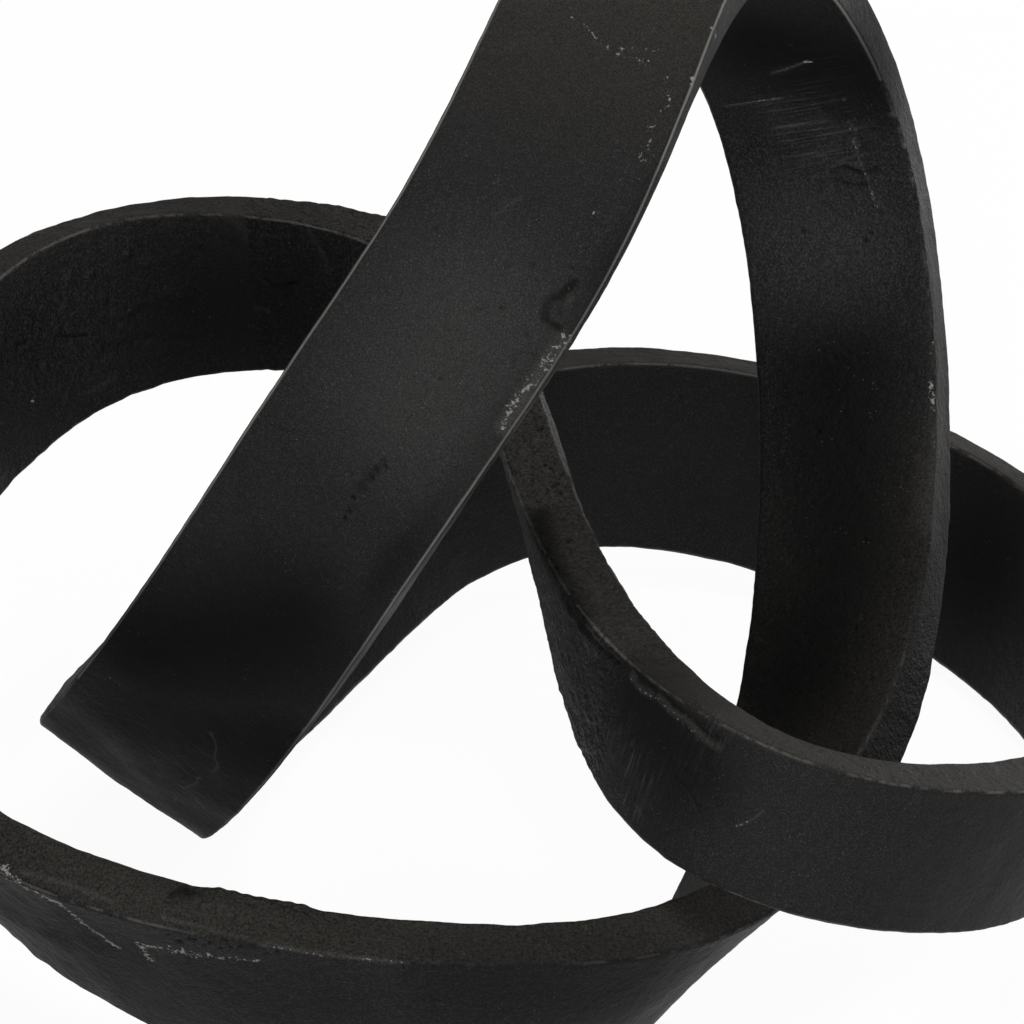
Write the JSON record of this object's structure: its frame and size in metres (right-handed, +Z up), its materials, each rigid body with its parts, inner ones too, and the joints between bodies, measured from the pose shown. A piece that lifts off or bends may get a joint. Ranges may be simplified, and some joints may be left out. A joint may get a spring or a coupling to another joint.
{
  "type": "knot sculpture",
  "caption": "Matte black cast metal table sculpture: one flat bar bent into a closed knot with a tall arch, a left loop and a right ring.",
  "frame": {"origin": "on the table plane, under the middle of the bounding box", "axes": "+X to the viewer's right along the widest span, +Y away from the viewer, +Z up"},
  "size_m": [0.2256, 0.2158, 0.1705],
  "materials": {
    "bar": "matte black on a fine sand-cast surface, a little worn at the edges",
    "weld": "matte black over ground weld metal, with faint grinding marks"
  },
  "bodies": {
    "root": {"front_run": "bar", "crossover": "bar", "left_loop": "bar", "fold_riser": "bar", "arch_strap": "bar", "heel_run": "bar", "weld_front": "weld", "weld_left_back": "weld", "weld_left_front": "weld", "weld_arch": "weld", "weld_heel": "weld", "weld_ring": "weld"}
  },
  "joints": []
}
